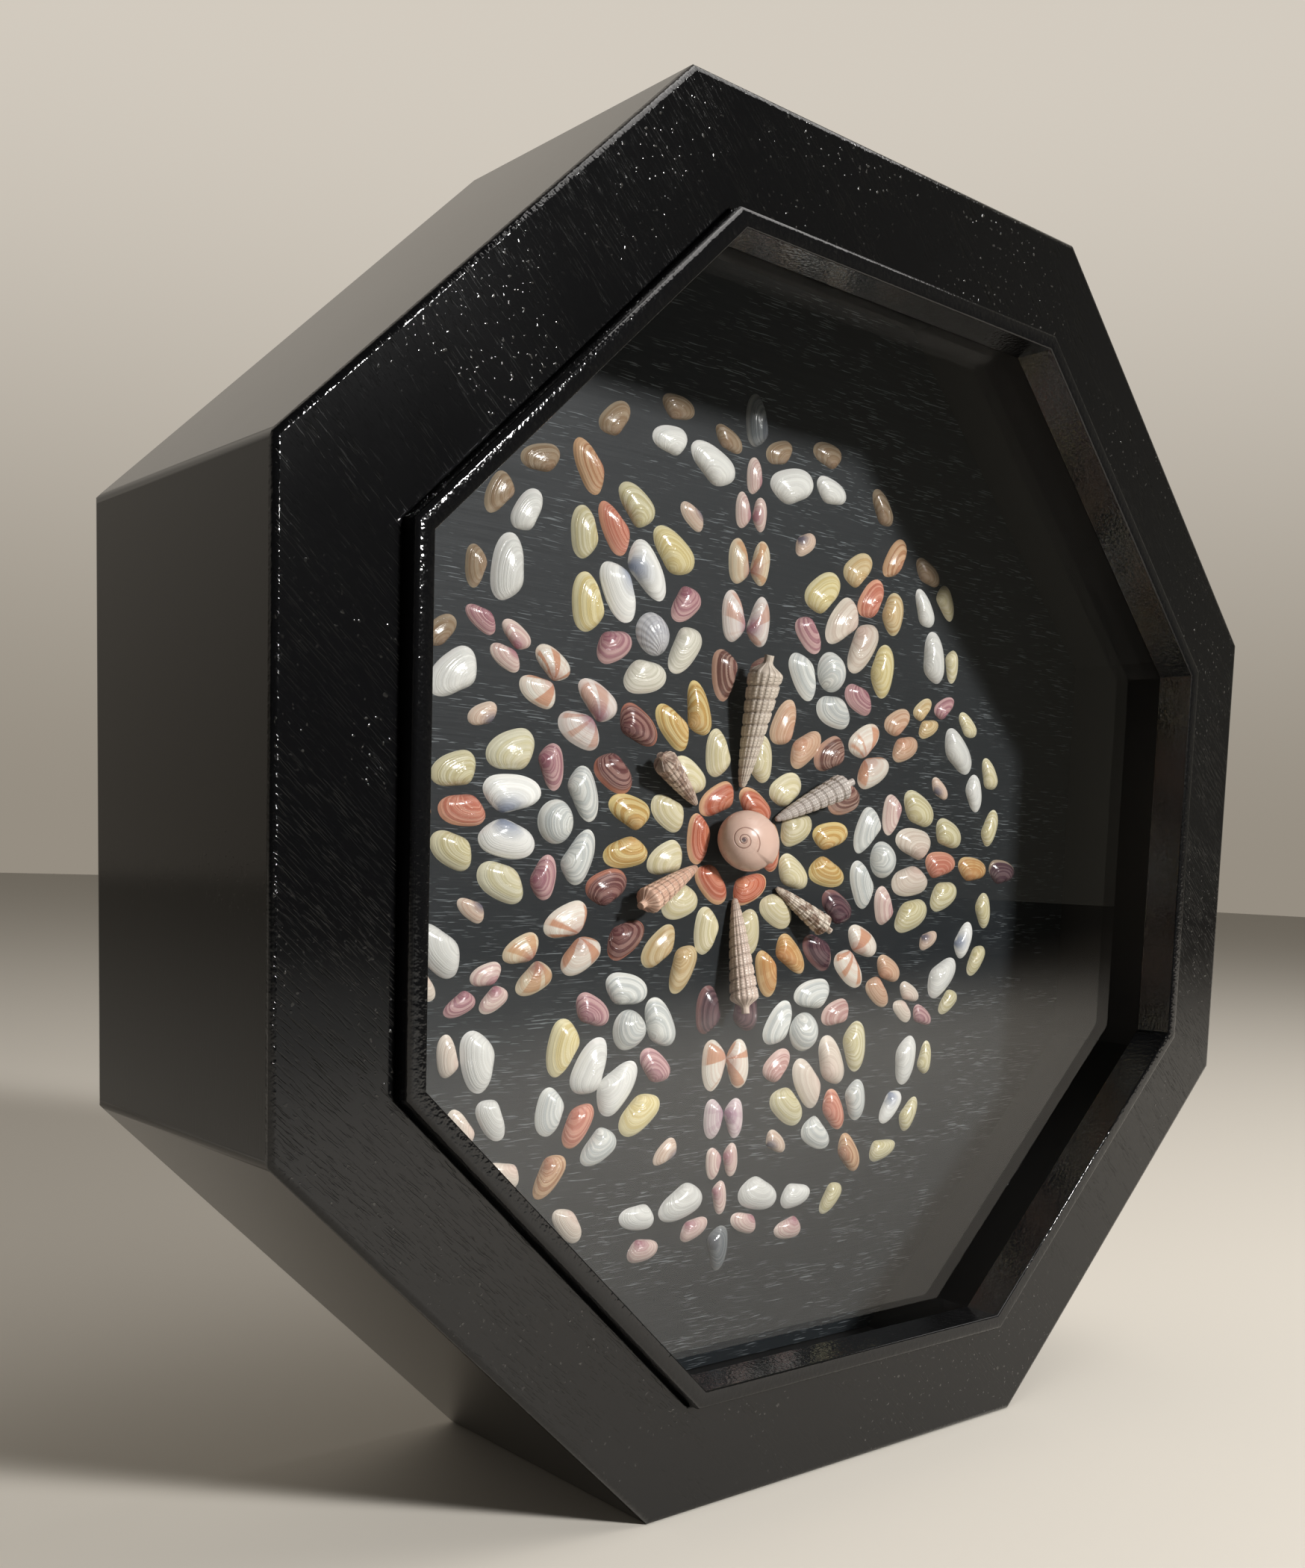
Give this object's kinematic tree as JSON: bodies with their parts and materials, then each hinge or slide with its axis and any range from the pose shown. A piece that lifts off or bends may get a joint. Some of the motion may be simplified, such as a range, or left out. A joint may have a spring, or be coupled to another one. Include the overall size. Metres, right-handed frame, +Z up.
{
  "type": "framed shell mosaic",
  "caption": "Octagonal black wooden shadow box with a glazed front and a rosette of glued sea shells on its dark back board; stands on its lower flat.",
  "frame": {"origin": "middle of the underside, on the surface that the bottom flat stands on, halfway through the depth", "axes": "+Z up, front (glass) faces -Y, +X to the viewer's right"},
  "size_m": [0.305, 0.086, 0.305],
  "materials": {
    "black_case": "black satin-gloss paint over open-pored wood",
    "black_lip": "black gloss paint",
    "clear_glass": "clear flat picture glass",
    "board_and_valves": "black satin paint on open-pored wood, with glossy glued shells",
    "auger_shell": "natural ribbed shell, satin",
    "moon_snail_shell": "natural smooth shell, glossy"
  },
  "bodies": {
    "root": {"side_right": "black_case", "side_upper_right": "black_case", "side_top": "black_case", "side_upper_left": "black_case", "side_left": "black_case", "side_lower_left": "black_case", "side_bottom": "black_case", "side_lower_right": "black_case", "face_panel": "black_case", "lip_right": "black_lip", "lip_upper_right": "black_lip", "lip_top": "black_lip", "lip_upper_left": "black_lip", "lip_left": "black_lip", "lip_lower_left": "black_lip", "lip_bottom": "black_lip", "lip_lower_right": "black_lip", "glass_pane": "clear_glass", "shell_board": "board_and_valves", "auger_right_upper": "auger_shell", "auger_top": "auger_shell", "auger_left_upper": "auger_shell", "auger_left_lower": "auger_shell", "auger_bottom": "auger_shell", "auger_right_lower": "auger_shell", "moon_snail": "moon_snail_shell"}
  },
  "joints": []
}
